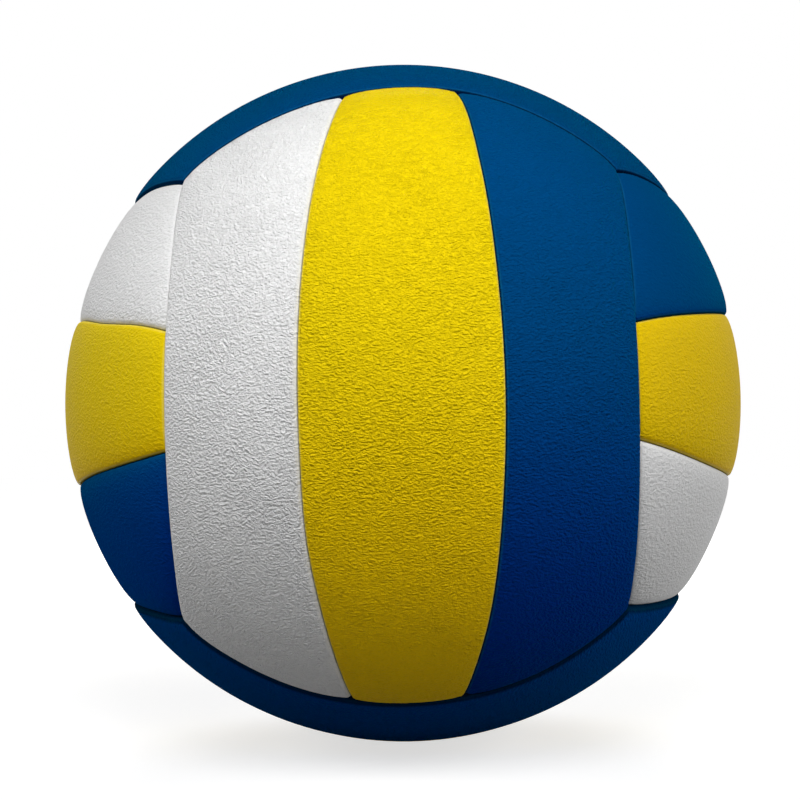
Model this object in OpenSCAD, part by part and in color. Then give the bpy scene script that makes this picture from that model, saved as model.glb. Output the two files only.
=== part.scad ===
// Indoor volleyball of eighteen sewn panels, origin at the ball's centre, valve on the +Y side.

/* [Ball] */
// Outside diameter of the inflated ball
ball_d = 210; // [200:1:220]

/* [Cover panels] */
// Width of a face's middle strip along the surface, at its widest
middle_w = 51.3; // [47:0.1:55]
// Thickness of the synthetic leather skin
skin_t = 1.2; // [0.8:0.1:1.5]
// Radius on which the edge of a cover rolls over into its seam
edge_r = 2.6; // [2:0.1:3]
// Gap in a seam between two neighbouring covers
seam_gap = 0.2; // [0.1:0.05:0.4]

/* [Padding] */
// Thickness of the foam pad under each cover
foam_t = 3; // [2.5:0.1:4]
// Thickness of the woven lining on the back of each pad
lining_t = 0.6; // [0.4:0.1:1]
// Clearance between two layers that are glued face to face
glue_gap = 0.05; // [0.02:0.01:0.1]

/* [Bladder] */
// Thickness of the rubber bladder
bladder_t = 0.8; // [0.6:0.1:1.2]

/* [Seam thread] */
// Diameter of the sewing thread under the seams
thread_d = 1; // [0.6:0.1:1.2]
// Length of seam left free between the end of a run of thread and a junction of panels
thread_stop = 2; // [1.6:0.1:4]

/* [Valve] */
// Diameter of the valve stem
stem_d = 10.4; // [8:0.1:12]
// Gap round the stem where it passes through the cover and its pad
stem_gap = 0.3; // [0.1:0.05:0.5]
// Depth of the stem's mouth below the ball's surface
stem_sink = 0.6; // [0.3:0.1:1]
// Radius on the rim of the stem's mouth
lip_r = 1; // [0.4:0.1:1.4]
// Diameter of the flange inside the bladder
flange_d = 26; // [18:0.5:30]
// Thickness of the flange
flange_t = 1.2; // [0.8:0.1:2]
// Diameter of the tail that hangs inside the bladder
tail_d = 8.6; // [7.8:0.1:10]
// Length of the tail below the flange
tail_len = 9; // [7:0.5:12]
// Diameter of the rubber patch round the stem, on the outside of the bladder
patch_d = 34; // [28:0.5:38]
// Diameter of the self-sealing plug
plug_d = 4.8; // [4:0.1:5.4]
// Depth of the plug's face below the stem's mouth
plug_sink = 0.3; // [0.1:0.1:0.6]
// How far the plug's retaining bulge stands out from its side
bulge_h = 0.7; // [0.4:0.1:1]
// Height of that bulge along the plug
bulge_len = 3; // [2:0.5:4]
// Diameter of the inflating needle
needle_d = 2; // [1.6:0.1:2.4]
// Depth of the needle's guide bore
needle_len = 8; // [5:0.5:9]
// Depth of the funnel at the mouth of the guide bore
funnel_h = 0.6; // [0.3:0.1:1]

/* [Hidden] */
// One overrun serves every cut
over = 1;
// Rolled edges cross their neighbours at this angle instead of running out to nothing
crossing = 10;
// The six faces of the ball meet at the corners of a cube: each reaches this far from its middle,
// and its corners stand this far round from its cross axis
face_angle = acos(1 / sqrt(3));
corner_angle = 45;
ball_r = ball_d / 2;
// Seams between strips lie in planes through the ball's centre, leaned this far from the face's middle
lean = middle_w / ball_d * 180 / PI;

// Layers, from the outside in
foam_r = ball_r - skin_t - glue_gap;
lining_r = foam_r - foam_t - glue_gap;
bladder_r = lining_r - lining_t - glue_gap;
bladder_in_r = bladder_r - bladder_t;
thread_r = bladder_r + glue_gap + thread_d / 2;
wall_low_r = thread_r + thread_d / 2 + glue_gap;
pad_inset = seam_gap / 2 + skin_t + glue_gap;
pad_edge_r = edge_r - skin_t - glue_gap;

// Valve, in heights above the ball's centre
mouth_z = ball_r - stem_sink;
plug_z = mouth_z - plug_sink;
flange_r = bladder_in_r - glue_gap;
tail_z = flange_r - flange_t - tail_len;
bulge_z = flange_r - flange_t - tail_len / 2;
funnel_d = needle_d + 2 * funnel_h;

// Facets of the large and the small curves
$fn = 144;
small_fn = 32;

white = "#ebebeb";
yellow = "#e6c400";
blue = "#003c78";

// Angles that turn a face modelled outward along +Z, strips along Y, to its place on the ball
front_angles = [90, 0, 0];
back_angles = [90, 0, 180];
left_angles = [0, -90, 0];
right_angles = [0, 90, 0];
top_angles = [0, 0, -90];
bottom_angles = [180, 0, 90];
all_face_angles = [front_angles, back_angles, left_angles, right_angles, top_angles, bottom_angles];

// Name, turn of the face, turn of the strip on its face, kind of strip, colour
PANELS = [
    ["front_left", front_angles, 180, "side", white],
    ["front_middle", front_angles, 0, "middle", yellow],
    ["front_right", front_angles, 0, "side", blue],
    ["back_left", back_angles, 0, "side", blue],
    ["back_middle", back_angles, 0, "middle", yellow],
    ["back_right", back_angles, 180, "side", white],
    ["left_top", left_angles, 0, "side", white],
    ["left_middle", left_angles, 0, "middle", yellow],
    ["left_bottom", left_angles, 180, "side", blue],
    ["right_top", right_angles, 180, "side", blue],
    ["right_middle", right_angles, 0, "middle", yellow],
    ["right_bottom", right_angles, 0, "side", white],
    ["top_front", top_angles, 0, "side", blue],
    ["top_middle", top_angles, 0, "middle", yellow],
    ["top_back", top_angles, 180, "side", white],
    ["bottom_front", bottom_angles, 180, "side", blue],
    ["bottom_middle", bottom_angles, 0, "middle", yellow],
    ["bottom_back", bottom_angles, 0, "side", white],
];
VALVE_PANEL = "back_middle";

// Section of what lies outside an edge: the seam line runs along X, the panel lies above it.
// The edge stands back from the seam by inset, and rolls over at the outer radius on round_r.
module seam_section(inset, outer_r, round_r) {
    poke = round_r * (1 - cos(crossing));
    centre_y = inset + round_r - poke;
    centre_x = sqrt(pow(outer_r - round_r + poke, 2) - pow(centre_y, 2));
    reach = outer_r + over;
    translate([0, -reach])
        square([reach, reach + inset]);
    if (round_r > 0)
        difference() {
            translate([centre_x, inset])
                square([reach - centre_x, centre_y - inset]);
            translate([centre_x, centre_y])
                circle(r = round_r, $fn = small_fn);
        }
}

// The same section turned to an edge that stands at an angle from the Y axis
module edge_section(angle, inset, outer_r, round_r, outside_is_near_axis) {
    reach = outer_r + over;
    intersection() {
        rotate(90 - angle)
            mirror([0, outside_is_near_axis ? 1 : 0])
                seam_section(inset, outer_r, round_r);
        translate([0, -reach])
            square([reach, 2 * reach]);
    }
}

// Round cap of shell that a whole face is cut from, with its edge rolled over
module face_cap(inset, outer_r, inner_r, round_r) {
    rotate_extrude()
        difference() {
            intersection() {
                circle(r = outer_r);
                square(outer_r + over);
            }
            circle(r = inner_r);
            edge_section(face_angle, inset, outer_r, round_r, false);
        }
}

// Everything on one side of the plane of a seam between two strips: toward is 1 for +X, -1 for -X
module strip_cut(toward, inset, outer_r, round_r) {
    rotate([0, lean + toward * 90, 0])
        rotate_extrude()
            edge_section(90, inset, outer_r, round_r, true);
}

// Everything inside the cone of the neighbouring face, towards +X
module neighbour_cut(inset, outer_r, round_r) {
    rotate([0, 90, 0])
        rotate_extrude()
            edge_section(face_angle, inset, outer_r, round_r, true);
}

// One strip of a face, as a layer of shell
module strip(kind, inset, outer_r, inner_r, round_r) {
    difference() {
        face_cap(inset, outer_r, inner_r, round_r);
        if (kind == "middle") {
            strip_cut(1, inset, outer_r, round_r);
            mirror([1, 0, 0])
                strip_cut(1, inset, outer_r, round_r);
        } else {
            strip_cut(-1, inset, outer_r, round_r);
            neighbour_cut(inset, outer_r, round_r);
        }
    }
}

module placed(panel) {
    rotate(panel[1])
        rotate([0, 0, panel[2]])
            children();
}

// Round hole along the axis of the valve, only in the panel that has it
module valve_hole(panel, hole_d) {
    if (panel[0] == VALVE_PANEL)
        cylinder(d = hole_d, h = ball_r + over);
}

// Synthetic leather cover: a skin whose edges roll over and turn down into the seams
module cover(panel) {
    color(panel[4])
        placed(panel)
            difference() {
                strip(panel[3], seam_gap / 2, ball_r, wall_low_r, edge_r);
                strip(panel[3], seam_gap / 2 + skin_t, ball_r - skin_t, wall_low_r - over, edge_r - skin_t);
                valve_hole(panel, stem_d + 2 * stem_gap);
            }
}

// Foam pad that fills the cover
module foam(panel) {
    color("#f0e6c8")
        placed(panel)
            difference() {
                strip(panel[3], pad_inset, foam_r, foam_r - foam_t, pad_edge_r);
                valve_hole(panel, stem_d + 2 * stem_gap);
            }
}

// Woven lining on the back of the pad, cut back round the valve's patch
module lining(panel) {
    color("#d8d4c8")
        placed(panel)
            difference() {
                strip(panel[3], pad_inset, lining_r, lining_r - lining_t, 0);
                valve_hole(panel, patch_d + 2 * stem_gap);
            }
}

// Run of thread along an arc about the Z axis, on the cone at this angle from it
module thread_arc(angle, from, to) {
    rotate([0, 0, from])
        rotate_extrude(angle = to - from)
            translate([thread_r * sin(angle), thread_r * cos(angle)])
                circle(d = thread_d, $fn = small_fn);
}

// Thread along every seam: two ends and two strip seams on each face
module seam_thread() {
    end_stop = thread_stop / (thread_r * sin(face_angle)) * 180 / PI;
    strip_stop = thread_stop / thread_r * 180 / PI;
    strip_end = acos(cos(face_angle) / cos(lean));
    color("#f4f4f0")
        for (face = all_face_angles)
            rotate(face)
                for (side = [0, 180])
                    rotate([0, 0, side]) {
                        thread_arc(face_angle, corner_angle + end_stop, 180 - corner_angle - end_stop);
                        rotate([0, 90 + lean, 0])
                            thread_arc(90, 180 - strip_end + strip_stop, 180 + strip_end - strip_stop);
                    }
}

// Hollow rubber bladder, open where the valve stem passes through it
module bladder() {
    color("#2b2b2b")
        rotate(back_angles)
            difference() {
                sphere(r = bladder_r);
                sphere(r = bladder_in_r);
                cylinder(d = stem_d + 2 * glue_gap, h = ball_r);
            }
}

// Part of a spherical layer within a radius of the valve's axis, as a section to revolve
module layer_section(outer_r, thickness, width_r) {
    intersection() {
        difference() {
            circle(r = outer_r);
            circle(r = outer_r - thickness);
        }
        square([width_r, outer_r]);
    }
}

// Upright bar of the valve's section, from the axis out, with its top corner rounded
module bar_section(bar_r, low, high, round_r) {
    difference() {
        translate([0, low])
            square([bar_r, high - low]);
        translate([bar_r - round_r, high - round_r])
            difference() {
                square(round_r + over);
                circle(r = round_r, $fn = small_fn);
            }
    }
}

// Outline of the plug grown by a clearance, which its socket in the stem takes as well
module plug_section(clearance) {
    plug_r = plug_d / 2 + clearance;
    translate([0, tail_z - clearance])
        square([plug_r, plug_z - tail_z + clearance]);
    translate([0, bulge_z])
        polygon([
            [0, -bulge_len / 2 - clearance],
            [plug_r, -bulge_len / 2 - clearance],
            [plug_r + bulge_h, 0],
            [plug_r, bulge_len / 2 + clearance],
            [0, bulge_len / 2 + clearance],
        ]);
}

// Rubber stem, flange and tail in one moulding
module valve_body() {
    color("#1e1e1e")
        rotate(back_angles)
            rotate_extrude()
                difference() {
                    union() {
                        bar_section(stem_d / 2, flange_r - flange_t, mouth_z, lip_r);
                        layer_section(flange_r, flange_t, flange_d / 2);
                        translate([0, tail_z])
                            square([tail_d / 2, tail_len + flange_t]);
                    }
                    plug_section(glue_gap);
                    translate([0, plug_z - over])
                        square([plug_d / 2 + glue_gap, mouth_z - plug_z + 2 * over]);
                }
}

// Soft plug that closes on itself when the needle leaves, with the needle's guide bore
module valve_plug() {
    color("#7a1f1a")
        rotate(back_angles)
            rotate_extrude()
                difference() {
                    plug_section(0);
                    translate([0, plug_z - needle_len])
                        square([needle_d / 2, needle_len + over]);
                    translate([0, plug_z])
                        polygon([
                            [0, -funnel_h],
                            [needle_d / 2, -funnel_h],
                            [funnel_d / 2, 0],
                            [funnel_d / 2, over],
                            [0, over],
                        ]);
                }
}

// Rubber patch on the bladder round the stem, in the opening of the lining
module valve_patch() {
    color("#333333")
        rotate(back_angles)
            rotate_extrude()
                difference() {
                    layer_section(lining_r, lining_t, patch_d / 2);
                    square([stem_d / 2 + glue_gap, ball_r]);
                }
}

for (panel = PANELS) {
    cover(panel);
    foam(panel);
    lining(panel);
}
seam_thread();
bladder();
valve_body();
valve_plug();
valve_patch();
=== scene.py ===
# %% [markdown]
# An indoor volleyball has a rubber bladder inside and eighteen panels sewn round it. Each panel is
# a strip of synthetic leather, glued on a foam pad, with a woven lining behind it. This lesson
# builds every panel as a swollen shell with rolled edges and round corners, sews the panels with a
# twisted thread, and then makes the finishes, the light and the camera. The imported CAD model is
# loaded first and stays as it is: it says where everything goes.

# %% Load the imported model
import math

import bpy
import numpy as np
from mathutils import Matrix, Vector


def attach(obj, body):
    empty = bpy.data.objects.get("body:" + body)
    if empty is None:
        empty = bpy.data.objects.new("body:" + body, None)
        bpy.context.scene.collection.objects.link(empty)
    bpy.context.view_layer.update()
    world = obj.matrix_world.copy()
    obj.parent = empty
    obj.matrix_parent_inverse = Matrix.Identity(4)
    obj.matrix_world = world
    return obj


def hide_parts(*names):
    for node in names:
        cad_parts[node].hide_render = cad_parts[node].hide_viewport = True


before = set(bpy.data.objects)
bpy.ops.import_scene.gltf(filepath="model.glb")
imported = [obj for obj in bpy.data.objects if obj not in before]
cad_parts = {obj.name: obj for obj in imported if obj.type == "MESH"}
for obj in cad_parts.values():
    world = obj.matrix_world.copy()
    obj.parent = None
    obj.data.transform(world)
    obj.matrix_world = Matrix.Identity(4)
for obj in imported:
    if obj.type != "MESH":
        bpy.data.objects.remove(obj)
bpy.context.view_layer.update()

MM = 0.001


def box_mm(low, high):
    return [round((b - a) / MM, 1) for a, b in zip(low, high)]


# %% [markdown]
# The radii and widths are those of the CAD model, in millimetres. Its plain seam becomes the closed
# one of the sewn ball, with a tighter gap and a flatter roll of the edge. The covers get two things
# more: their corners are cut round, and their faces swell up from the seams, because the foam is
# pinched there and free in between. On the left and right faces the seams are pulled tighter, so
# their panels puff up more.

# %% Sizes of the ball and its layers
BALL_R = 105.0
MIDDLE_W = 51.3
SKIN_T = 1.2
SEAM_GAP = 0.06
FOAM_T = 3.0
LINING_T = 0.6
GLUE_GAP = 0.05
PLY_R = 0.25
FOAM_R = BALL_R - SKIN_T - GLUE_GAP
LINING_R = FOAM_R - FOAM_T - GLUE_GAP
BLADDER_R = LINING_R - LINING_T - GLUE_GAP
THREAD_R = BLADDER_R + GLUE_GAP + 2 * PLY_R
WALL_FOOT_R = 101.15  # the leather turns down this far between the pads
FACE_ANGLE = math.acos(1 / math.sqrt(3))
LEAN = MIDDLE_W / (2 * BALL_R)

CORNER_R = 1.4  # of a panel's outline, seen from above
LEAST_R = 0.3  # of the same corner on the rings further in
ROLL_W, ROLL_H = 0.9, 0.8  # the rolled edge, across and down
INNER_ROLL = 0.3  # the same edge on the inside of the leather
PINCH_DEPTH = 0.65  # how far a seam pulls the face down
PINCH_REACH = 2.8  # how far from the seam this has mostly gone
PUFF = {"left": 1.7, "right": 1.7}  # faces that are pinched more

STEM_D = 10.4
PATCH_D = 34.0
VALVE_GAP = 0.3
HOLE_R = STEM_D / 2 + VALVE_GAP
PATCH_HOLE_R = PATCH_D / 2 + VALVE_GAP
print("lean of the strip seams:", round(math.degrees(LEAN), 2), "degrees")

# %% [markdown]
# The strips of each face run at right angles to those of its neighbours. A panel is modelled in the
# frame of its face, with the outside along +Z and the strip along Y, and is then turned to its
# place. The last two numbers of a panel make it differ: how far it stands above or below its
# neighbours, in millimetres, and its tone, which is partly the tone of its sheet and partly painted
# light that makes some faces lighter or darker.

# %% Faces and panels
FACE_TURNS = {
    "front": (90, 0, 0),
    "back": (90, 0, 180),
    "left": (0, -90, 0),
    "right": (0, 90, 0),
    "top": (0, 0, -90),
    "bottom": (180, 0, 90),
}
# the last number, the tone, is partly the sheet's own and partly painted light
PANELS = [
    ("front_left", "front", 180, "side", "white", 0.0, 1.0),
    ("front_middle", "front", 0, "middle", "yellow", 0.15, 1.0),
    ("front_right", "front", 0, "side", "blue", 0.0, 1.06),
    ("back_left", "back", 0, "side", "blue", 0.1, 1.0),
    ("back_middle", "back", 0, "middle", "yellow", 0.0, 1.0),
    ("back_right", "back", 180, "side", "white", -0.1, 1.0),
    ("left_top", "left", 0, "side", "white", -0.45, 0.97),
    ("left_middle", "left", 0, "middle", "yellow", 0.1, 0.92),
    ("left_bottom", "left", 180, "side", "blue", -0.4, 1.15),
    ("right_top", "right", 180, "side", "blue", 0.1, 0.98),
    ("right_middle", "right", 0, "middle", "yellow", -0.35, 0.80),
    ("right_bottom", "right", 0, "side", "white", -0.6, 0.87),
    ("top_front", "top", 0, "side", "blue", 0.3, 0.92),
    ("top_middle", "top", 0, "middle", "yellow", 0.0, 1.0),
    ("top_back", "top", 180, "side", "white", 0.1, 1.0),
    ("bottom_front", "bottom", 180, "side", "blue", 0.2, 1.25),
    ("bottom_middle", "bottom", 0, "middle", "yellow", 0.0, 1.0),
    ("bottom_back", "bottom", 0, "side", "white", 0.0, 1.0),
]
VALVE_PANEL = "back_middle"


def turn(degrees):
    """Matrix that turns about X, then Y, then Z, as the CAD's rotate does."""
    rx, ry, rz = (Matrix.Rotation(math.radians(a), 3, axis) for a, axis in zip(degrees, "XYZ"))
    return np.array(rz @ ry @ rx)


def panel_turn(face, half_turn):
    return turn(FACE_TURNS[face]) @ turn((0, 0, half_turn))


print("panels:", len(PANELS), "of", sorted({p[4] for p in PANELS}))

# %% [markdown]
# Every seam is a circle on the sphere, given by its axis and the angle that it keeps from that
# axis. Those between the strips of a face are as wide as the ball, so their angle is 90 degrees.
# The ends of a strip lie on the circle through the four corners of its face, and the long outer
# side of a side strip lies on the same circle of the next face. A line that stands back from a
# seam by any distance is again a circle, so the outline can be drawn in exact steps inwards.

# %% Seams as circles on the unit sphere
STRIP_SEAM = math.pi / 2
X, Y, Z = np.eye(3)


def unit(v):
    v = np.asarray(v, float)
    return v / np.linalg.norm(v, axis=-1, keepdims=True)


def lengths(line):
    """Length along a line of points, up to each of them."""
    return np.concatenate([[0], np.cumsum(np.linalg.norm(np.diff(line, axis=0), axis=1))])


def edges_of(kind):
    """The edges in order round a panel: (axis, angle from it, 1 where the panel lies inside)."""
    cap = (Z, FACE_ANGLE, 1)
    beside, up = math.cos(LEAN) * X, math.sin(LEAN) * Z
    if kind == "middle":
        right, left = (up - beside, STRIP_SEAM, 1), (up + beside, STRIP_SEAM, 1)
    else:
        right, left = (X, FACE_ANGLE, -1), (beside - up, STRIP_SEAM, 1)
    return [right, cap, left, cap]


def distance(points, edge):
    """How far points on the unit sphere lie inside an edge, along the ball's surface."""
    axis, angle, inside = edge
    return inside * BALL_R * (angle - np.arccos(np.clip(points @ axis, -1, 1)))


def meeting(edge_a, edge_b, inset, y_side):
    """The point that lies inset from two edges, on the side of the face that y_side says."""
    (a, angle_a, in_a), (b, angle_b, in_b) = edge_a, edge_b
    wanted = [math.cos(angle_a - in_a * inset / BALL_R), math.cos(angle_b - in_b * inset / BALL_R)]
    share = np.linalg.solve([[1, a @ b], [a @ b, 1]], wanted)
    flat = share[0] * a + share[1] * b
    out = unit(np.cross(a, b)) * math.sqrt(1 - flat @ flat)
    return flat + out if (flat + out)[1] * y_side > 0 else flat - out


middle_corner = meeting(*edges_of("middle")[:2], CORNER_R, 1)
print("corner of a middle strip is rounded about", (middle_corner * BALL_R).round(1))

# %% [markdown]
# One ring of the outline is four lines, each along its own circle, joined by round corners that
# are tighter on the rings further in. Opposite sides have the same number of points, so that the
# middle can be filled with a regular grid. So there are two counts, the points along a panel and
# those across it, and the covers have more of them than the layers below.

# %% One ring of a panel's outline
COVER_STEPS = (60, 16)
LAYER_STEPS = (36, 12)
CORNER_STEPS = 6


def along_edge(edge, start, end, inset, count):
    """Points along an edge at this inset, from beside one corner's middle to beside the next."""
    axis, angle, inside = edge
    u = unit(start - (start @ axis) * axis)
    v = np.cross(axis, u)
    last = math.atan2(end @ v, end @ u)
    turns = np.linspace(0, last, count)[:, None]
    angle = angle - inside * inset / BALL_R
    return math.cos(angle) * axis + math.sin(angle) * (np.cos(turns) * u + np.sin(turns) * v)


def to_edge(point, edge):
    """Direction along the sphere from a point straight to an edge."""
    axis, _, inside = edge
    return -inside * unit(axis - (axis @ point) * point)


def round_corner(point, edge_a, edge_b, radius):
    """Points of the arc about a corner's middle, from one edge to the next."""
    a, b = to_edge(point, edge_a), to_edge(point, edge_b)
    spread = math.acos(np.clip(a @ b, -1, 1))
    t = np.linspace(0, spread, CORNER_STEPS + 1)[:, None]
    way = (np.sin(spread - t) * a + np.sin(t) * b) / math.sin(spread)
    reach = radius / BALL_R
    return math.cos(reach) * point + math.sin(reach) * way


def ring(kind, inset, steps):
    """Closed ring of points at this inset, starting in the middle of the first corner."""
    edges = edges_of(kind)
    right, cap, left, _ = edges
    radius = max(CORNER_R - inset, LEAST_R)
    corners = [meeting(edge, cap, inset + radius, y_side)
               for edge, y_side in ((right, -1), (right, 1), (left, 1), (left, -1))]
    half = CORNER_STEPS // 2
    parts = []
    for i, edge in enumerate(edges):
        here, there = corners[i], corners[(i + 1) % 4]
        first = round_corner(here, edges[i - 1], edge, radius)
        line = along_edge(edge, here, there, inset, steps[i % 2] + 1)
        second = round_corner(there, edge, edges[(i + 1) % 4], radius)
        parts += [first[half:-1], line, second[1:half]]
    return np.concatenate(parts)


trial = ring("side", SEAM_GAP / 2, COVER_STEPS)
print("points in a ring:", len(trial), "perimeter in mm:", round(lengths(trial)[-1] * BALL_R))

# %% [markdown]
# The middle of a panel is filled between the four sides of the last ring, as a weaver would:
# threads across, threads along, and the corners counted once. Pushed out onto the sphere, this
# gives even squares with no pinched poles.

# %% Fill the last ring with a grid
LAST_INSET = 3.4


def filled(loop, steps):
    """Grid of points inside a ring that was made with the same steps."""
    along, across = (count + CORNER_STEPS for count in steps)
    right = loop[:along + 1]
    top = loop[along:along + across + 1][::-1]
    left = loop[along + across:2 * along + across + 1][::-1]
    bottom = np.concatenate([loop[2 * along + across:], loop[:1]])

    def shares(line_a, line_b):
        a, b = lengths(line_a), lengths(line_b)
        return (a / a[-1] + b / b[-1]) / 2

    u = shares(bottom, top)[None, :, None]
    v = shares(left, right)[:, None, None]
    woven = ((1 - v) * bottom + v * top + (1 - u) * left[:, None] + u * right[:, None]
             - (1 - u) * (1 - v) * bottom[0] - u * (1 - v) * bottom[-1]
             - (1 - u) * v * top[0] - u * v * top[-1])
    return unit(woven)


trial = filled(ring("side", LAST_INSET, COVER_STEPS), COVER_STEPS)
print("grid in the middle of a panel:", trial.shape[:2])

# %% [markdown]
# The face of a cover is pinched down along its seams and swells towards the middle. An exponential
# fall from each seam does this with no visible end to the pinch, and where two seams meet their
# falls add up, so the corners dip a little more, as they do on a real ball.

# %% Height of a panel's face
def pinch(points, kind):
    """How far the face is pulled down by its seams."""
    right, cap, left, _ = edges_of(kind)
    return PINCH_DEPTH * sum(np.exp(-np.maximum(distance(points, edge), 0) / PINCH_REACH)
                             for edge in (right, cap, left))


print("pinch at the centre of a middle strip in mm:", pinch(Z[None], "middle").round(4))

# %% [markdown]
# A skin is a stack of rings: up the wall in the seam, over a rolled edge, and in to the last ring,
# from where the grid takes over. A cover is two such skins, the outside and the inside of the
# leather, joined at the foot of the wall, so it has a real thickness.

# %% Skin of rings and a grid
OUTER_ROLL_STEPS = 7
INNER_ROLL_STEPS = 4
FLAT_RINGS = 4


def skin(kind, top_r, foot_r, inset, roll, extra, steps, roll_steps, edge_pinch):
    """(rings, grid) in millimetres, from the foot of the wall inwards. Roll is (across, down)."""
    def at(points, drop):
        return points * (top_r + extra - edge_pinch * pinch(points, kind) - drop)[..., None]

    roll_w, roll_h = roll
    loops = [ring(kind, inset, steps) * foot_r]
    for t in np.linspace(0, math.pi / 2, roll_steps):
        over = ring(kind, inset + roll_w * (1 - math.cos(t)), steps)
        loops.append(at(over, roll_h * (1 - math.sin(t))))
    for further in np.linspace(inset + roll_w, LAST_INSET, FLAT_RINGS + 1)[1:]:
        loops.append(at(ring(kind, further, steps), 0.0))
    return loops, at(filled(unit(loops[-1]), steps), 0.0)


loops, grid = skin("middle", BALL_R, WALL_FOOT_R, SEAM_GAP / 2, (ROLL_W, ROLL_H), 0.0,
                   COVER_STEPS, OUTER_ROLL_STEPS, 1.0)
print("outer skin of a middle cover:", len(loops), "rings, width in mm at the last ring:",
      round(float(np.ptp(loops[-1][:, 0])), 1))

# %% [markdown]
# One panel has a round hole for the valve. Cutting it with a boolean would leave long triangles
# that catch the light, so the squares round the hole are taken out and the space is filled with
# rings that turn from the square border into a circle.

# %% Mesh parts: points, faces and a hole
HOLE_BLOCK = 1.45  # the squares go this many times the hole's radius out
HOLE_RINGS = (0.6, 0.3, 0.1, 0.03, 0.0)  # from the square border, 1, to the circle, 0
LIP_FROM = 0.1  # the lip of the leather turns in from here
HOLE_LIP = 0.35


class Parts:
    """Points and faces collected for one mesh."""

    def __init__(self):
        self.points, self.faces = [], []

    def add(self, points):
        start = len(self.points)
        self.points += [tuple(p) for p in points]
        return list(range(start, len(self.points)))

    def band(self, outer, inner, flip=False):
        """Quads between two closed loops of indices."""
        for i in range(len(outer)):
            j = (i + 1) % len(outer)
            quad = (outer[i], outer[j], inner[j], inner[i])
            self.faces.append(quad[::-1] if flip else quad)


def border_of(j0, j1, i0, i1):
    """Indices round a block of the grid, counter-clockwise from its lower left corner."""
    return ([(j0, i) for i in range(i0, i1)] + [(j, i1) for j in range(j0, j1)]
            + [(j1, i) for i in range(i1, i0, -1)] + [(j, i0) for j in range(j1, j0, -1)])


def hole_block(grid, hole_r):
    """The squares to take out round the hole: first and last row, first and last column."""
    row, column = (grid.shape[0] - 1) // 2, (grid.shape[1] - 1) // 2
    flat = np.abs(grid[..., :2])
    reach = min(HOLE_BLOCK * hole_r, (hole_r + flat[row, -1, 0]) / 2)
    half_i = int(np.argmax(flat[row, column:, 0] > reach))
    half_j = int(np.argmax(flat[row:, column, 1] > reach))
    return row - half_j, row + half_j, column - half_i, column + half_i


def lay_skin(parts, loops, grid, flip=False, hole_r=0.0, lip=0.0):
    """Adds a skin. Returns its first ring, and the ring round the hole if there is one."""
    rings = [parts.add(loop) for loop in loops]
    for outer, inner in zip(rings, rings[1:]):
        parts.band(outer, inner, flip)
    rows, columns = grid.shape[0] - 1, grid.shape[1] - 1
    index = np.full((rows + 1, columns + 1), -1)
    last = rings[-1]
    index[:, columns] = last[:rows + 1]
    index[rows, ::-1] = last[rows:rows + columns + 1]
    index[::-1, 0] = last[rows + columns:2 * rows + columns + 1]
    index[0, :-1] = last[2 * rows + columns:]
    inside = [(j, i) for j in range(1, rows) for i in range(1, columns)]
    for (j, i), new in zip(inside, parts.add([grid[j, i] for j, i in inside])):
        index[j, i] = new
    j0, j1, i0, i1 = hole_block(grid, hole_r) if hole_r else (0, 0, 0, 0)
    for j in range(rows):
        for i in range(columns):
            if not (j0 <= j < j1 and i0 <= i < i1):
                quad = (index[j, i], index[j, i + 1], index[j + 1, i + 1], index[j + 1, i])
                parts.faces.append(quad[::-1] if flip else quad)
    if not hole_r:
        return rings[0], None
    cells = border_of(j0, j1, i0, i1)
    border = np.array([grid[j, i] for j, i in cells])
    height = np.linalg.norm(border, axis=1).mean()
    angle = np.arctan2(border[:, 1], border[:, 0])
    circle = hole_r * np.stack([np.cos(angle), np.sin(angle)], axis=1)
    outer = [index[j, i] for j, i in cells]
    for share in HOLE_RINGS:
        xy = share * border[:, :2] + (1 - share) * circle
        r = height - lip * (1 - min(share / LIP_FROM, 1)) ** 2
        z = np.sqrt(r ** 2 - (xy ** 2).sum(1))
        inner = parts.add(np.column_stack([xy, z]))
        parts.band(outer, inner, flip)
        outer = inner
    return rings[0], outer


def shell(outside, inside, hole_r, lip=0.0):
    """Two skins, joined at the foot and round the hole if there is one."""
    parts = Parts()
    foot, mouth = lay_skin(parts, *outside, hole_r=hole_r, lip=lip)
    foot_in, mouth_in = lay_skin(parts, *inside, flip=True, hole_r=hole_r)
    parts.band(foot_in, foot)
    if mouth:
        parts.band(mouth, mouth_in)
    return parts


print("squares taken out for the valve:", hole_block(grid, HOLE_R))

# %% [markdown]
# On paper every seam is a true circle. On the sewn ball they wander by a millimetre or three, where
# a corner was pulled or a strip was cut a little wide. Each line below moves the surface near one
# place: where it is, how far the pull reaches, and how far it goes. All layers follow it, so the
# seams stay closed. The back, with the valve, is left true.

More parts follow.
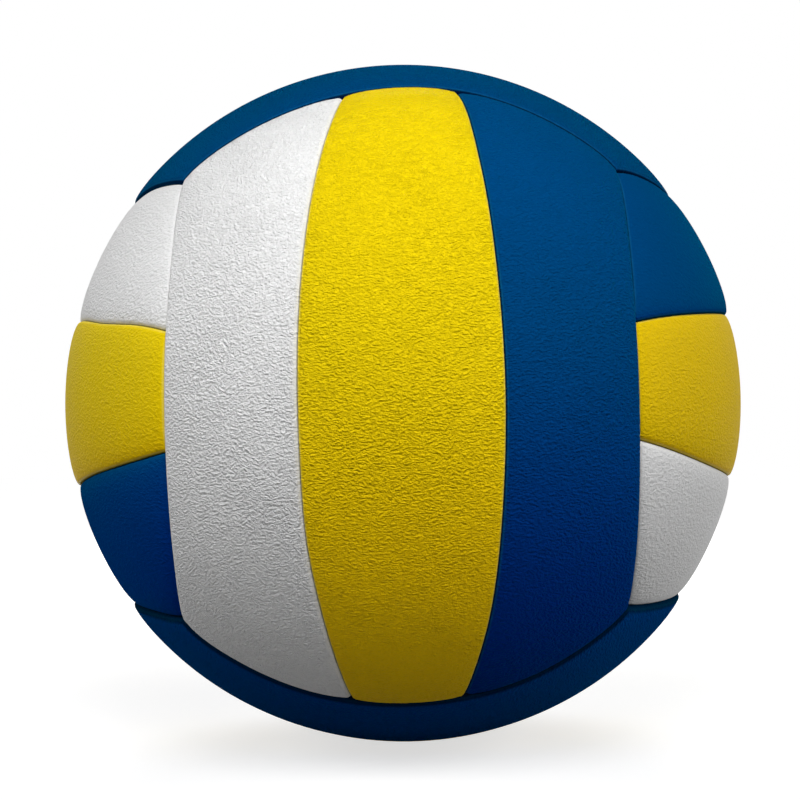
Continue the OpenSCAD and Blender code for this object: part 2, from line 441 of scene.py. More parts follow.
# %% Pulls that make the sewing uneven
PULLS = [
    # name, place from the ball's centre, reach, pull; both directions are (right, back, up)
    ("upper edge, left of the middle", (-0.30, -0.58, 0.76), 34, (-0.2, -2.4, -1.6)),
    ("middle strip, upper right corner", (0.17, -0.62, 0.77), 20, (1.3, 0.6, 0.4)),
    ("front left strip seam, low", (-0.23, -0.90, -0.36), 18, (-0.6, 0.0, 0.0)),
    ("front right strip seam, high", (0.23, -0.94, 0.26), 25, (-0.4, 0.0, 0.0)),
    ("front right strip seam, low", (0.23, -0.80, -0.55), 26, (0.6, 0.0, 0.0)),
    ("left face, upper seam", (-0.70, -0.42, 0.58), 20, (0.2, 0.3, 2.3)),
    ("left face, upper seam, far end", (-0.80, -0.12, 0.59), 16, (0.3, 0.0, 1.8)),
    ("left face, strip seam, near end", (-0.61, -0.75, 0.24), 18, (0.0, 0.0, 1.6)),
    ("left face, strip seam, far end", (-0.78, -0.55, 0.25), 17, (0.0, 0.0, -1.0)),
    ("left face, middle strip", (-0.86, -0.48, 0.04), 28, (0.0, 0.0, 1.8)),
    ("left seam, middle", (-0.60, -0.80, 0.00), 30, (-0.6, 0.4, 0.0)),
    ("left seam, low", (-0.60, -0.68, -0.42), 28, (-0.6, 0.5, 0.0)),
    ("right seam, low", (0.60, -0.66, -0.42), 26, (0.7, 0.5, 0.0)),
    ("right face, middle strip", (0.62, -0.78, 0.03), 30, (0.2, 0.1, 2.0)),
    ("upper right corner", (0.62, -0.52, 0.58), 25, (0.3, 2.0, 1.6)),
    ("lower left corner", (-0.56, -0.58, -0.60), 14, (-0.8, 1.6, -0.8)),
    ("lower edge, right of the middle", (0.06, -0.60, -0.80), 36, (0.3, -2.8, 2.1)),
    ("lower edge, far right", (0.48, -0.58, -0.66), 21, (0.0, -1.2, 0.9)),
]


def uneven(points):
    """Moves points along the ball's surface by the pulls, at their own height."""
    height = np.linalg.norm(points, axis=-1, keepdims=True)
    way = points / height
    moved = way * BALL_R
    for _, place, reach, pull in PULLS:
        apart = BALL_R * np.linalg.norm(way - unit(place), axis=-1, keepdims=True)
        moved = moved + np.exp(-(apart / reach) ** 2) * np.array(pull)
    return unit(moved) * height


shifts = [uneven(unit(place)[None] * BALL_R) - unit(place) * BALL_R for _, place, _, _ in PULLS]
print("pulls:", len(PULLS), "furthest in mm:", round(max(map(np.linalg.norm, shifts)), 1))

# %% [markdown]
# Each point of a panel carries what its finish needs: a flat map of the panel as it was cut from
# the sheet, in metres, so that the grain has its true size, its distance to the nearest seam, how
# deep the grain was pressed, the panel's tone, which is partly the sheet's and partly painted
# light, the range over which its painted shade and painted light may mix, and how much wider the
# band of dust and painted shade in its seams is.
#
# The grain of a sheet runs one way. The panels of the left and right faces are cut from it the
# other way round, where it is shallower. The strips of the bottom face keep more of the painted
# lit tone in the shade, and the yellow strip on the right takes less of it. The seams of the
# bottom face get a wider band of painted shade.

# %% Turn parts into an object
SHEETS_TURNED = ("left", "right")
PRESS = {"left_top": 0.60, "left_middle": 0.38, "left_bottom": 0.42,
         "right_top": 0.38, "right_middle": 0.38, "right_bottom": 0.38}
# limits, per face or panel, on the mix of painted shade and painted light
PAINTED_LIGHT_RANGE = {"bottom": (0.5, 1.0), "right_middle": (0.0, 0.4)}
# how much wider the seams' band of painted shade is, per face
PAINTED_SEAM_SHADE_WIDENS = {"bottom": 4.5}


def placed(name, data):
    """A new object in the scene with this mesh, lamp or camera."""
    obj = bpy.data.objects.new(name, data)
    bpy.context.scene.collection.objects.link(obj)
    return obj


def smooth_mesh(name, points, faces):
    """A smooth mesh of points given in millimetres."""
    mesh = bpy.data.meshes.new(name)
    mesh.from_pydata((np.asarray(points) * MM).tolist(), [], faces)
    mesh.polygons.foreach_set("use_smooth", [True] * len(faces))
    return mesh


def panel_object(name, parts, kind, face, half_turn, tone=1.0):
    used = sorted({i for corners in parts.faces for i in corners})
    renumber = {before: now for now, before in enumerate(used)}
    points = np.array(parts.points)[used]
    faces = [[renumber[i] for i in corners] for corners in parts.faces]
    mesh = smooth_mesh(name, uneven(points @ panel_turn(face, half_turn).T), faces)
    way = unit(points)
    panel = name.rpartition("_")[0]
    least_painted_light, most_painted_light = PAINTED_LIGHT_RANGE.get(panel, PAINTED_LIGHT_RANGE.get(face, (0.0, 1.0)))
    carried = {
        "seam_mm": np.min([distance(way, edge) for edge in edges_of(kind)], axis=0),
        "press": PRESS.get(panel, 1.0),
        "sheet_tone_and_painted_light": tone,
        "least_painted_light": least_painted_light,
        "most_painted_light": most_painted_light,
        "dust_and_shade_band": PAINTED_SEAM_SHADE_WIDENS.get(face, 1.0),
    }
    for label, value in carried.items():
        each = np.broadcast_to(value, len(points)).astype(np.float32)
        mesh.attributes.new(label, "FLOAT", "POINT").data.foreach_set("value", each)
    across = BALL_R * np.arctan2(way[:, 0], way[:, 2]) * np.sqrt(1 - way[:, 1] ** 2)
    along = BALL_R * np.arcsin(way[:, 1])
    cut = np.column_stack([along, across] if face in SHEETS_TURNED else [across, along]) * MM
    corner_points = np.zeros(len(mesh.loops), np.int32)
    mesh.loops.foreach_get("vertex_index", corner_points)
    flat_map = cut[corner_points].astype(np.float32).ravel()
    mesh.uv_layers.new(name="cut").data.foreach_set("uv", flat_map)
    mesh.update()
    return placed(name, mesh)


print("panel frames ready:", panel_turn("front", 0).round(2).tolist())

# %% [markdown]
# The covers: skin outside, skin inside, joined under the wall. The panel with the valve gets its
# hole, with a lip that turns in where the leather is glued down round the valve.

# %% Covers
def cover_object(panel):
    name, face, half_turn, kind, _, extra, tone = panel
    puff = PUFF.get(face, 1.0)
    outside = skin(kind, BALL_R, WALL_FOOT_R, SEAM_GAP / 2, (ROLL_W, ROLL_H), extra,
                   COVER_STEPS, OUTER_ROLL_STEPS, puff)
    inside = skin(kind, BALL_R - SKIN_T, WALL_FOOT_R, SEAM_GAP / 2 + SKIN_T,
                  (INNER_ROLL, INNER_ROLL), extra, COVER_STEPS, INNER_ROLL_STEPS, puff)
    parts = shell(outside, inside, HOLE_R if name == VALVE_PANEL else 0.0, HOLE_LIP)
    return panel_object(name + "_leather", parts, kind, face, half_turn, tone)


covers = {}
for panel in PANELS:
    piece = cover_object(panel)
    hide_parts(panel[0] + "_cover")
    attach(piece, "root")
    covers[panel[0]] = piece
print("covers:", len(covers), "points in one:", len(covers["front_middle"].data.vertices))

# %% [markdown]
# Under each cover lies its foam pad, and on the back of the pad its woven lining. Both follow the
# same outline a little further in, so the same rings make them. The underside is one more grid on
# the sphere.

# %% Foam pads
PAD_INSET = SEAM_GAP / 2 + SKIN_T + GLUE_GAP
UNDERSIDE_INSET = PAD_INSET + 0.3
FOAM_ROLL = 0.6
LINING_ROLL = 0.2


def underside(kind, r):
    loops = [ring(kind, inset, LAYER_STEPS) * r for inset in (UNDERSIDE_INSET, LAST_INSET)]
    return loops, filled(unit(loops[-1]), LAYER_STEPS) * r


def layer_object(panel, word, top_r, thick, roll, extra, edge_pinch, hole_r):
    name, face, half_turn, kind = panel[:4]
    top = skin(kind, top_r, top_r - thick, PAD_INSET, (roll, roll), extra,
               LAYER_STEPS, INNER_ROLL_STEPS, edge_pinch)
    parts = shell(top, underside(kind, top_r - thick), hole_r if name == VALVE_PANEL else 0.0)
    return panel_object(name + "_" + word, parts, kind, face, half_turn)


foams = {}
for panel in PANELS:
    pad = layer_object(panel, "pad", FOAM_R, FOAM_T, FOAM_ROLL, min(panel[5], 0.0),
                       PUFF.get(panel[1], 1.0), HOLE_R)
    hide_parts(panel[0] + "_foam")
    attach(pad, "root")
    foams[panel[0]] = pad
print("foam pads:", len(foams))

# %% [markdown]
# Each lining is a sheet stretched over the bladder. The flat size of the piece that it is cut from
# is worked out, and printed for the two kinds of strip.

# %% Linings, with the flat size of each cut
def flat_size(kind):
    """Width and length along the ball of the piece that a lining is cut from, in metres."""
    loop = ring(kind, PAD_INSET, LAYER_STEPS)
    across = LINING_R * np.arctan2(loop[:, 0], loop[:, 2])
    along = LINING_R * np.arcsin(loop[:, 1])
    return float(np.ptp(across)) * MM, float(np.ptp(along)) * MM


def face_area(obj):
    return sum(p.area for p in obj.data.polygons)


linings = {}
for panel in PANELS:
    cloth = layer_object(panel, "cloth", LINING_R, LINING_T, LINING_ROLL, 0.0, 0.0, PATCH_HOLE_R)
    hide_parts(panel[0] + "_lining")
    flat_size(panel[3])
    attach(cloth, "root")
    linings[panel[0]] = cloth
for kind in ("middle", "side"):
    print("lining of a", kind, "strip, cut from, in mm:", box_mm((0, 0), flat_size(kind)))
for name in ("front_middle", "front_left", VALVE_PANEL):
    print(name, "cloth area in square mm:", round(face_area(linings[name]) / 2 / MM ** 2))

# %% [markdown]
# The sewing thread runs under every seam. Real thread is twisted from plies, so each run is two
# thin strands winding round each other along the seam, in place of the plain round bar.

# %% Twisted thread under the seams
TWIST = 3.6  # one turn of the plies, along the seam
THREAD_STOP = 2.0  # how far from a corner a run ends
PLY_SIDES = 5
STRIP_POINTS = 300
END_POINTS = 220


def strand(path, out, phase):
    """Points of one ply round a path that has the given outward directions."""
    ahead = unit(np.gradient(path, axis=0))
    beside = np.cross(ahead, out)
    turned = (2 * math.pi * lengths(path) / TWIST + phase)[:, None]
    middle = path + PLY_R * (np.cos(turned) * out + np.sin(turned) * beside)
    spin = np.linspace(0, 2 * math.pi, PLY_SIDES, endpoint=False)
    return np.concatenate([[m + PLY_R * (math.cos(s) * o + math.sin(s) * b) for s in spin]
                           for m, o, b in zip(middle, out, beside)])


def seam_runs():
    """Paths of the 24 runs, as directions on the unit sphere."""
    strip_end = math.acos(math.cos(FACE_ANGLE) / math.cos(LEAN)) - THREAD_STOP / THREAD_R
    end_stop = THREAD_STOP / (THREAD_R * math.sin(FACE_ANGLE))
    strip_turns = np.linspace(-strip_end, strip_end, STRIP_POINTS)[:, None]
    end_turns = np.linspace(math.pi / 4 + end_stop, 3 * math.pi / 4 - end_stop, END_POINTS)[:, None]
    beside = math.sin(LEAN) * X + math.cos(LEAN) * Z
    strip_run = np.cos(strip_turns) * beside + np.sin(strip_turns) * Y
    around = np.cos(end_turns) * X + np.sin(end_turns) * Y
    end_run = math.cos(FACE_ANGLE) * Z + math.sin(FACE_ANGLE) * around
    for face in FACE_TURNS:
        for half_turn in (0, 180):
            matrix = panel_turn(face, half_turn)
            yield strip_run @ matrix.T
            yield end_run @ matrix.T


parts = Parts()
for run in seam_runs():
    for phase in (0, math.pi):
        points = strand(uneven(run * THREAD_R), uneven(run), phase)
        rings = np.array(parts.add(points)).reshape(-1, PLY_SIDES).tolist()
        for a, b in zip(rings, rings[1:]):
            parts.band(a, b)
        parts.faces += [tuple(rings[0]), tuple(rings[-1][::-1])]
sewing_thread = placed("sewing_thread", smooth_mesh("sewing_thread", parts.points, parts.faces))
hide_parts("seam_thread")
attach(sewing_thread, "root")
print("thread points:", len(sewing_thread.data.vertices))

# %% [markdown]
# The finishes are made of shader nodes. These helpers add a node and set its inputs in one line.

# %% Helpers for nodes
def node(tree, kind, **values):
    """Adds a node and sets its properties."""
    made = tree.nodes.new("ShaderNode" + kind)
    for key, value in values.items():
        setattr(made, key, value)
    return made


def put(tree, made, **sockets):
    """Sets or links inputs. i0 is the first one, and Base_Color the one of that name."""
    for key, value in sockets.items():
        numbered = key[0] == "i" and key[1:].isdigit()
        socket = made.inputs[int(key[1:]) if numbered else key.replace("_", " ")]
        if isinstance(value, bpy.types.NodeSocket):
            tree.links.new(value, socket)
        else:
            socket.default_value = (*value, 1.0) if socket.type == "RGBA" else value
    return made


def maths(tree, operation, a, b=0.0, c=0.0):
    return put(tree, node(tree, "Math", operation=operation), i0=a, i1=b, i2=c).outputs[0]


def product(tree, first, *others):
    for other in others:
        first = maths(tree, "MULTIPLY", first, other)
    return first


def sloped(tree, value, slope, start):
    """The value times the slope, plus the start."""
    return maths(tree, "MULTIPLY_ADD", value, slope, start)


def vector_maths(tree, operation, a, b):
    return put(tree, node(tree, "VectorMath", operation=operation), i0=a, i1=b).outputs[0]


def in_mm(tree, place):
    return vector_maths(tree, "MULTIPLY", place, (1 / MM, 1 / MM, 1 / MM))


def times(tree, vector, share):
    made = node(tree, "VectorMath", operation="SCALE")
    return put(tree, made, i0=vector, Scale=share).outputs[0]


def smooth_step(tree, value, low, high):
    made = node(tree, "MapRange", interpolation_type="SMOOTHSTEP")
    return put(tree, made, Value=value, From_Min=low, From_Max=high).outputs[0]


def falling(tree, value, low, high):
    return maths(tree, "SUBTRACT", 1.0, smooth_step(tree, value, low, high))


def noise(tree, place, scale, detail, roughness=0.5):
    made = node(tree, "TexNoise")
    return put(tree, made, Vector=place, Scale=scale, Detail=detail, Roughness=roughness).outputs


print("node helpers ready")

# %% [markdown]
# Several finishes share the same effects, so each effect is a node group, built once. Each takes a
# map and some numbers, and gives numbers that change over the surface.

# %% Helpers for groups
def new_group(name, inputs, outputs):
    tree = bpy.data.node_groups.new(name, "ShaderNodeTree")
    tree.interface.new_socket("Map", in_out="INPUT", socket_type="NodeSocketVector")
    for way, labels in (("INPUT", inputs), ("OUTPUT", outputs)):
        for label in labels:
            tree.interface.new_socket(label, in_out=way, socket_type="NodeSocketFloat")
    return tree, tree.nodes.new("NodeGroupInput").outputs, tree.nodes.new("NodeGroupOutput")


def placed_group(tree, group, **sockets):
    return put(tree, node(tree, "Group", node_tree=group), **sockets).outputs


print("group helpers ready")

# %% [markdown]
# The grain is pressed into the leather by a roller: low ridges like fine wrinkles, about a
# millimetre from one to the next and longer across the strip than along it. Noise, bent by a slower
# one and stretched one way, gives wandering ridges, and a power makes their crests sharper than
# the valleys. A finer noise breaks them up, and another one draws creases along the lines where it
# passes its middle value.

# %% Node group: leather grain
BEND_REACH = 8.0
CREST_POWER = 2.0
FINE_SHARE = 0.22
CREASE_SHARE = 0.07
CREASE_W = 0.07

grain, inside, out = new_group(
    "leather_grain", ["Pitch mm", "Stretch", "Bend"], ["Height", "Crease"])
cells = vector_maths(grain, "DIVIDE", in_mm(grain, inside["Map"]), inside["Pitch mm"])
slow = noise(grain, cells, 0.25, 1.0)["Color"]
centred = vector_maths(grain, "SUBTRACT", slow, (0.5, 0.5, 0.5))
bend = times(grain, centred, product(grain, inside["Bend"], BEND_REACH))
bent = vector_maths(grain, "ADD", cells, bend)
narrow = node(grain, "CombineXYZ")
put(grain, narrow, X=maths(grain, "DIVIDE", 1.0, inside["Stretch"]), Y=1.0, Z=1.0)
drawn = vector_maths(grain, "MULTIPLY", bent, narrow.outputs[0])
ridges = noise(grain, drawn, 1.0, 1.2)[0]
elsewhere = vector_maths(grain, "ADD", drawn, (37.0, 11.0, 5.0))
folds = noise(grain, elsewhere, 0.8, 1.0)[0]
from_middle = maths(grain, "ABSOLUTE", maths(grain, "SUBTRACT", folds, 0.5))
crease = smooth_step(grain, from_middle, 0.0, CREASE_W)
fine = noise(grain, bent, 2.3, 0.0)[0]
crests = maths(grain, "POWER", ridges, CREST_POWER)
height = sloped(grain, fine, FINE_SHARE, crests)
height = sloped(grain, crease, CREASE_SHARE, height)
put(grain, out, Height=height, Crease=crease)
print("leather grain:", len(grain.nodes), "nodes")

# %% [markdown]
# No sheet of leather has one even tone. This group gives a slow drift of a few percent.

# %% Node group: drift of tone
drift, inside, out = new_group("tone_drift", ["Size mm", "Amount"], ["Tone"])
patches = vector_maths(drift, "DIVIDE", in_mm(drift, inside["Map"]), inside["Size mm"])
cloud = noise(drift, patches, 1.0, 3.0, 0.6)[0]
centred = maths(drift, "SUBTRACT", cloud, 0.5)
put(drift, out, Tone=sloped(drift, centred, inside["Amount"], 1.0))
print("tone drift:", len(drift.nodes), "nodes")

# %% [markdown]
# Along a seam the rolled edge is rubbed by hands and floors, so it is a little smoother and paler.
# The paler colour is partly that wear and partly a painted highlight on the roll. The grain is
# pulled flat where the leather turns down. And the depth of the seam holds dust and takes no light,
# so it is darker: partly dust and partly painted shade. Each of the three has a range over which it
# comes or goes: in millimetres from the seam, and for the dust and shade in shares of its own
# width.

# %% Node group: rolled edge
RUB_COMES = (0.08, 0.2)
RUB_GOES = (0.4, 0.8)
FLAT_GOES = (0.3, 1.3)
DUST_AND_SHADE_GOES = (0.3, 1.0)

edge_wear, inside, out = new_group(
    "edge_wear", ["Seam mm", "Dust mm"], ["Rub", "Dust", "Flat"])
broken = noise(edge_wear, in_mm(edge_wear, inside["Map"]), 0.35, 3.0, 0.65)[0]
rise = smooth_step(edge_wear, inside["Seam mm"], *RUB_COMES)
fall = falling(edge_wear, inside["Seam mm"], *RUB_GOES)
patchy = sloped(edge_wear, smooth_step(edge_wear, broken, 0.3, 0.7), 0.5, 0.5)
rub_and_highlight = product(edge_wear, rise, fall, patchy)
in_dust_and_shade = maths(edge_wear, "DIVIDE", inside["Seam mm"], inside["Dust mm"])
put(edge_wear, out, Rub=rub_and_highlight, Dust=falling(edge_wear, in_dust_and_shade, *DUST_AND_SHADE_GOES),
    Flat=falling(edge_wear, inside["Seam mm"], *FLAT_GOES))
print("edge wear:", len(edge_wear.nodes), "nodes")

# %% [markdown]
# These helpers make a material, mix two colours, raise a bump and read what a point carries. The
# last one tells the rays that the camera follows, straight on or off something smooth or clear.

# %% Helpers for materials
def surface(name):
    material = bpy.data.materials.new(name)
    material.use_nodes = True
    return material, material.node_tree, material.node_tree.nodes["Principled BSDF"]


def mixed(tree, share, a, b):
    made = node(tree, "Mix", data_type="RGBA")
    return put(tree, made, i0=share, i6=a, i7=b).outputs[2]


def bumped(tree, height, deep_mm):
    made = node(tree, "Bump")
    return put(tree, made, Height=height, Distance=deep_mm * MM).outputs[0]


def point_value(tree, label):
    return node(tree, "Attribute", attribute_name=label).outputs["Fac"]


def object_place(tree):
    return node(tree, "TexCoord").outputs["Object"]


def followed_rays(tree):
    path = node(tree, "LightPath").outputs
    bounced = maths(tree, "MAXIMUM", path["Is Glossy Ray"], path["Is Transmission Ray"])
    return maths(tree, "MAXIMUM", path["Is Camera Ray"], bounced)


print("material helpers ready")

# %% [markdown]
# The three leathers are the same sheet in three colours, so one function makes them. Each has a
# painted lit tone and a painted shaded one, mixed by which way the surface faces: on the
# photographed ball the yellow turns to ochre and the blue to navy where the surface faces down,
# more than the loss of light alone would do. The colour is paler near the seams, partly rubbed
# wear and partly a painted highlight, darker in the seam, partly dust and partly painted shade,
# and darker in the creases, which is painted shade. The grain is a bump. It fades where the edge
# is pulled flat, and it drifts, because a roller never presses evenly. The surface is a coated,
# half-matt one, and the blue has a faint teal sheen.

# %% Leather in white, yellow and blue
# the painted shade is full below the first height and the painted light full above the second
SHADED_BELOW, LIT_ABOVE = -0.65, 0.20  # height of the surface's direction, -1 down, 1 up
TONE_DRIFT = {"Size_mm": 26.0, "Amount": 0.08}
PRESS_DRIFT = {"Size_mm": 34.0, "Amount": 0.9}
BEND = 0.25
SHALLOW_WIDENS = 0.4  # shallow grain is wider by up to this share
RUB_AND_HIGHLIGHT_SHOWS = 0.35
DUST_AND_SHADE_SHOWS = 0.8
PAINTED_CREASE_SHADE = 0.07
ROUGH = 0.56
RUB_POLISHES = 0.08
EDGE_FLATTENS = 0.6


def leather(name, painted_lit_colour, painted_shade_colour, rubbed_and_highlight, seam_dust_and_shade, dust_mm, pitch, stretch, relief, specular):
    material, tree, shader = surface(name)
    flat_map = node(tree, "UVMap", uv_map="cut").outputs[0]
    press = point_value(tree, "press")
    wider = sloped(tree, press, -SHALLOW_WIDENS, 1 + SHALLOW_WIDENS)
    grain_out = placed_group(tree, grain, Map=flat_map, Stretch=stretch, Bend=BEND,
                             Pitch_mm=product(tree, wider, pitch))
    # width of the seam's dark band, dust and painted shade, widened on the bottom by painted shadow
    dust_and_shade_band = product(tree, point_value(tree, "dust_and_shade_band"), dust_mm)
    edges = placed_group(tree, edge_wear, Map=flat_map, Dust_mm=dust_and_shade_band,
                         Seam_mm=point_value(tree, "seam_mm"))
    normal = node(tree, "NewGeometry").outputs["Normal"]
    facing = put(tree, node(tree, "SeparateXYZ"), Vector=normal).outputs["Z"]
    # painted shade: the lit and shaded tones are mixed by which way the surface faces
    light = smooth_step(tree, facing, SHADED_BELOW, LIT_ABOVE)
    light = maths(tree, "MAXIMUM", light, point_value(tree, "least_painted_light"))
    light = maths(tree, "MINIMUM", light, point_value(tree, "most_painted_light"))
    base = mixed(tree, light, painted_shade_colour, painted_lit_colour)
    # the paler rim is partly rubbed wear and partly a painted highlight on the rolled edge
    base = mixed(tree, product(tree, edges["Rub"], RUB_AND_HIGHLIGHT_SHOWS), base, rubbed_and_highlight)
    # the darker seam is partly dust and partly painted shade
    base = mixed(tree, product(tree, edges["Dust"], DUST_AND_SHADE_SHOWS), base, seam_dust_and_shade)
    tone = placed_group(tree, drift, Map=flat_map, **TONE_DRIFT)["Tone"]
    # the panel's tone is partly the sheet's own and partly painted light
    base = times(tree, base, product(tree, tone, point_value(tree, "sheet_tone_and_painted_light")))
    # painted shade in the grain's creases
    base = times(tree, base, sloped(tree, grain_out["Crease"], PAINTED_CREASE_SHADE, 1 - PAINTED_CREASE_SHADE))
    pressed = placed_group(tree, drift, Map=flat_map, **PRESS_DRIFT)["Tone"]
    edge = sloped(tree, edges["Flat"], -EDGE_FLATTENS, 1.0)
    depth = product(tree, edge, press, pressed, relief)
    raised = product(tree, grain_out["Height"], depth)
    put(tree, shader, Base_Color=base, Normal=bumped(tree, raised, 1.0),
        Roughness=sloped(tree, edges["Rub"], -RUB_POLISHES, ROUGH),
        Specular_IOR_Level=specular)
    return material


leathers = {
    "white": leather(
        "white_leather_coat", painted_lit_colour=(0.855, 0.855, 0.855), painted_shade_colour=(0.845, 0.845, 0.845),
        rubbed_and_highlight=(0.88, 0.88, 0.88), seam_dust_and_shade=(0.40, 0.41, 0.38),
        dust_mm=0.30, pitch=0.66, stretch=1.2, relief=0.90, specular=0.25),
    "yellow": leather(
        "yellow_leather_coat", painted_lit_colour=(0.87, 0.645, 0.001), painted_shade_colour=(1.0, 0.64, 0.001),
        rubbed_and_highlight=(0.88, 0.78, 0.25), seam_dust_and_shade=(0.40, 0.30, 0.01),
        dust_mm=0.28, pitch=0.57, stretch=1.6, relief=1.05, specular=0.04),
    "blue": leather(
        "blue_leather_coat", painted_lit_colour=(0.0003, 0.050, 0.175), painted_shade_colour=(0.0003, 0.024, 0.22),
        rubbed_and_highlight=(0.01, 0.15, 0.32), seam_dust_and_shade=(0.0, 0.003, 0.008),
        dust_mm=0.46, pitch=0.62, stretch=1.6, relief=0.70, specular=0.0),
}
blue_tree = leathers["blue"].node_tree
put(blue_tree, blue_tree.nodes["Principled BSDF"],
    Sheen_Weight=0.16, Sheen_Roughness=0.4, Sheen_Tint=(0.0, 0.40, 0.48))
for panel in PANELS:
    covers[panel[0]].data.materials.append(leathers[panel[4]])
print("leathers:", sorted(leathers))

# %% [markdown]
# The foam shows its closed cells, bright walls between small dark pits, where the darkness is
# painted shade, and has gone a little darker in patches.

# %% Foam
CELLS_PER_MM = 1.6

material, tree, shader = surface("cell_foam")
to_cell = put(tree, node(tree, "TexVoronoi"), Vector=in_mm(tree, object_place(tree)),
              Scale=CELLS_PER_MM).outputs["Distance"]
wall = smooth_step(tree, to_cell, 0.15, 0.65)
patch = placed_group(tree, drift, Map=object_place(tree), Size_mm=9.0, Amount=0.25)["Tone"]
# the dark pits are painted shade
colour = mixed(tree, wall, (0.62, 0.54, 0.36), (0.87, 0.79, 0.58))
put(tree, shader, Base_Color=times(tree, colour, patch), Roughness=0.9, Specular_IOR_Level=0.2,
    Normal=bumped(tree, wall, 0.25))
for pad in foams.values():
    pad.data.materials.append(material)
print("foam on", len(foams), "pads")

# %% [markdown]
# The lining is a plain weave of round yarns, half a millimetre apart: each yarn goes over one and
# under the next. Two rows of sine waves give the yarns, and a checker says which one is on top.

# %% Node group: plain weave
weave, inside, out = new_group("plain_weave", ["Pitch mm"], ["Height", "On top"])
yarns = vector_maths(weave, "DIVIDE", in_mm(weave, inside["Map"]), inside["Pitch mm"])
apart = put(weave, node(weave, "SeparateXYZ"), Vector=yarns).outputs
waves = [maths(weave, "SINE", product(weave, apart[axis], math.pi)) for axis in "XY"]
rounds = [maths(weave, "ABSOLUTE", wave) for wave in waves]
cells = [maths(weave, "FLOOR", apart[axis]) for axis in "XY"]
on_top = maths(weave, "FLOORED_MODULO", maths(weave, "ADD", *cells), 2.0)
crossed = [product(weave, over, sloped(weave, under, 0.5, 0.5))
           for over, under in (rounds, rounds[::-1])]
height = node(weave, "Mix", data_type="FLOAT")
put(weave, height, i0=on_top, i2=crossed[0], i3=crossed[1])
put(weave, out, Height=height.outputs[0], On_top=on_top)
print("plain weave:", len(weave.nodes), "nodes")

# %% [markdown]
# On the cloth one set of yarns is a little darker than the other, and no light gets between them.

# %% Lining cloth
material, tree, shader = surface("woven_lining")
flat_map = node(tree, "UVMap", uv_map="cut").outputs[0]
cloth_out = placed_group(tree, weave, Map=flat_map, Pitch_mm=0.5)
yarn = mixed(tree, cloth_out["On top"], (0.72, 0.70, 0.62), (0.62, 0.60, 0.52))
out_of_gap = smooth_step(tree, cloth_out["Height"], 0.0, 0.5)
colour = mixed(tree, out_of_gap, (0.22, 0.21, 0.17), yarn)
tone = placed_group(tree, drift, Map=flat_map, Size_mm=12.0, Amount=0.15)["Tone"]
put(tree, shader, Base_Color=times(tree, colour, tone), Roughness=0.85, Specular_IOR_Level=0.2,
    Sheen_Weight=0.25, Normal=bumped(tree, cloth_out["Height"], 0.18))
for cloth in linings.values():
    cloth.data.materials.append(material)
print("lining on", len(linings), "cloths")

# %% [markdown]
# The thread's plies are geometry. Its single fibres are not, so a fine noise stands for them.

# %% Thread
material, tree, shader = surface("polyester_thread")
fibres = noise(tree, in_mm(tree, object_place(tree)), 7.0, 2.0)[0]
pale = smooth_step(tree, fibres, 0.35, 0.65)
colour = mixed(tree, pale, (0.68, 0.68, 0.64), (0.90, 0.90, 0.87))
put(tree, shader, Base_Color=colour, Roughness=0.6, Sheen_Weight=0.2,
    Normal=bumped(tree, pale, 0.04))
sewing_thread.data.materials.append(material)
print("thread:", material.name)

# %% [markdown]
# Four rubbers share one effect: a bloom of pale dust in soft clouds, duller where it is thick, over
# a surface that is never quite even.

# %% Node group: rubber bloom
bloom, inside, out = new_group("rubber_bloom", ["Size mm", "Least", "Most"], ["Dust", "Height"])
per_mm = in_mm(bloom, inside["Map"])
cloud = noise(bloom, vector_maths(bloom, "DIVIDE", per_mm, inside["Size mm"]), 1.0, 5.0, 0.65)[0]
dust = smooth_step(bloom, cloud, inside["Least"], inside["Most"])
put(bloom, out, Dust=dust, Height=noise(bloom, per_mm, 1.4, 2.0)[0])
print("rubber bloom:", len(bloom.nodes), "nodes")

# %% [markdown]
# The bladder, the patch and the valve are carried over from the CAD model. Each gets its own
# rubber: the patch and the bladder talced, the valve's body moulded, its plug red.

# %% Rubber pieces
def rubber(name, clean, dusty, size, least, most, relief, polished, dull):
    material, tree, shader = surface(name)
    made = placed_group(tree, bloom, Map=object_place(tree), Size_mm=size, Least=least, Most=most)
    put(tree, shader, Base_Color=mixed(tree, made["Dust"], clean, dusty),
        Roughness=sloped(tree, made["Dust"], dull - polished, polished),
        Specular_IOR_Level=0.4, Normal=bumped(tree, made["Height"], relief))
    return material


rubbers = {
    "bladder": rubber(
        "talced_butyl", clean=(0.018, 0.018, 0.018), dusty=(0.11, 0.11, 0.105),
        size=14.0, least=0.40, most=0.75, relief=0.12, polished=0.42, dull=0.80),
    "valve_patch": rubber(
        "talced_patch", clean=(0.022, 0.022, 0.022), dusty=(0.09, 0.09, 0.085),
        size=7.0, least=0.42, most=0.80, relief=0.10, polished=0.48, dull=0.78),
    "valve_body": rubber(
        "moulded_rubber", clean=(0.015, 0.015, 0.016), dusty=(0.07, 0.07, 0.065),
        size=4.0, least=0.50, most=0.85, relief=0.03, polished=0.38, dull=0.62),
    "valve_plug": rubber(
        "plug_rubber", clean=(0.17, 0.016, 0.012), dusty=(0.26, 0.09, 0.08),
        size=2.5, least=0.50, most=0.85, relief=0.03, polished=0.45, dull=0.65),
}
for name, material in rubbers.items():
    node_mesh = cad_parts[name].data
    node_mesh.materials.clear()
    node_mesh.materials.append(material)
print("rubbers:", sorted(rubbers))

# %% [markdown]
# The camera stands a little below the middle of the ball, about four ball radii off. The three
# small turns and the shift of the lens put the ball where the photograph has it.

# %% Camera
VIEW_DISTANCE = 404.0
VIEW_TURN = (-2.46, -0.86, -0.24)  # degrees of pitch, roll and yaw
SENSOR = 36.0
FOCAL_SHARE = 1.571  # of the sensor's width
LENS_SHIFT = (-0.0047, 0.0047)

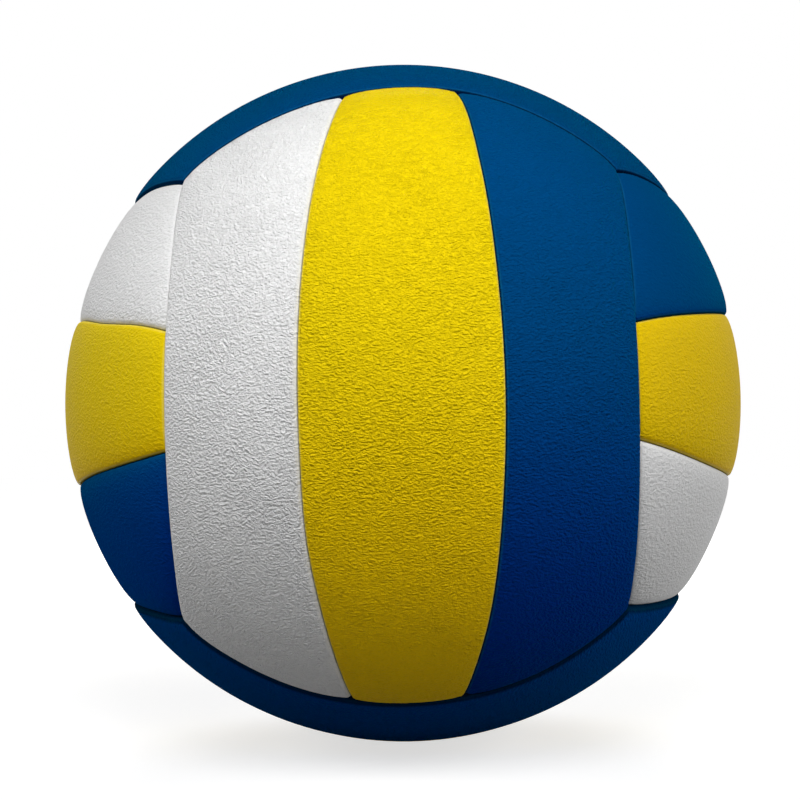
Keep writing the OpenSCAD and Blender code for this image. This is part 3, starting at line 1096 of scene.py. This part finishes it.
pitch, roll, yaw = (math.radians(a) for a in VIEW_TURN)
to_view = Matrix.Rotation(roll, 3, "Y") @ Matrix.Rotation(pitch, 3, "X")
from_view = (to_view @ Matrix.Rotation(yaw, 3, "Z")).transposed()
place = from_view @ Vector((0, -VIEW_DISTANCE * MM, 0))
aim = (from_view @ Matrix.Rotation(math.pi / 2, 3, "X")).to_4x4()
camera = placed("camera", bpy.data.cameras.new("camera"))
camera.matrix_world = Matrix.Translation(place) @ aim
camera.data.sensor_width = SENSOR
camera.data.lens = FOCAL_SHARE * SENSOR
camera.data.shift_x, camera.data.shift_y = LENS_SHIFT
bpy.context.scene.camera = camera
print("camera at, in mm:", [round(v / MM) for v in place])

# %% [markdown]
# The ball is lit by a small lamp close by, in front and above, and a broad one further off. Two
# more stand at the sides, and one behind shows the back in the other views.

# %% Lamps
LAMPS = [
    # name, turn round the ball, height in degrees, distance, width, power
    ("near", 0, 34, 0.35, 0.15, 0.62),
    ("front", 0, 30, 1.1, 0.40, 2.4),
    ("left", -85, 22, 1.1, 0.60, 3.7),
    ("right", 80, 18, 1.1, 0.60, 4.9),
    ("behind", 180, 30, 1.1, 0.60, 7.0),
]
for name, around, up, away, width, power in LAMPS:
    a, e = math.radians(around), math.radians(up)
    lamp = placed("lamp_" + name, bpy.data.lights.new("lamp_" + name, "AREA"))
    lamp.data.shape = "DISK"
    lamp.data.size = width
    lamp.data.energy = power
    lamp.visible_camera = False
    level = math.cos(e)
    lamp.location = away * Vector((math.sin(a) * level, -math.cos(a) * level, math.sin(e)))
    lamp.rotation_euler = (-lamp.location).to_track_quat("-Z", "Y").to_euler()
print("lamps:", [row[0] for row in LAMPS])

# %% [markdown]
# The background is white where the camera sees it, and gives no light of its own.

# %% White background
world = bpy.data.worlds.new("room")
world.use_nodes = True
bpy.context.scene.world = world
tree = world.node_tree
put(tree, tree.nodes["Background"], Color=(1, 1, 1), Strength=followed_rays(tree))
print("background: white where it is seen, dark as light")

# %% [markdown]
# The floor is white to the camera far from the ball, so it runs into the background with no edge.
# Near the ball its own glow is weaker and the lamps make up the rest, which leaves a soft shadow.
# For the light that bounces off it the floor is darker, or it would throw too much up.

# %% Floor
FLOOR_GLOW = 0.66
FLOOR_TONE = 0.55
FLOOR_BOUNCE = 0.24
SHADOW_NEAR, SHADOW_FAR = 0.16, 0.60
FLOOR_R = 6
RIM_POINTS = 96

mesh = bpy.data.meshes.new("floor")
around = np.linspace(0, 2 * math.pi, RIM_POINTS, endpoint=False)
rim = [(FLOOR_R * math.cos(a), FLOOR_R * math.sin(a), -BALL_R * MM) for a in around]
mesh.from_pydata(rim, [], [list(range(RIM_POINTS))])
floor = placed("floor", mesh)
material, tree, shader = surface("pale_floor")
away = put(tree, node(tree, "VectorMath", operation="LENGTH"), i0=object_place(tree))
far = smooth_step(tree, away.outputs["Value"], SHADOW_NEAR, SHADOW_FAR)
own_light = sloped(tree, far, 1.0 - FLOOR_GLOW, FLOOR_GLOW)
from_camera = node(tree, "LightPath").outputs["Is Camera Ray"]
tone = sloped(tree, from_camera, FLOOR_TONE - FLOOR_BOUNCE, FLOOR_BOUNCE)
grey = put(tree, node(tree, "CombineXYZ"), X=tone, Y=tone, Z=tone).outputs[0]
put(tree, shader, Base_Color=grey, Roughness=0.9, Specular_IOR_Level=0.0,
    Emission_Color=(1, 1, 1),
    Emission_Strength=product(tree, followed_rays(tree), own_light))
floor.data.materials.append(material)
print("floor: a disc", round(floor.dimensions.x), "m across, as low as the ball")

# %% Finish
bpy.context.scene.view_settings.view_transform = "Standard"
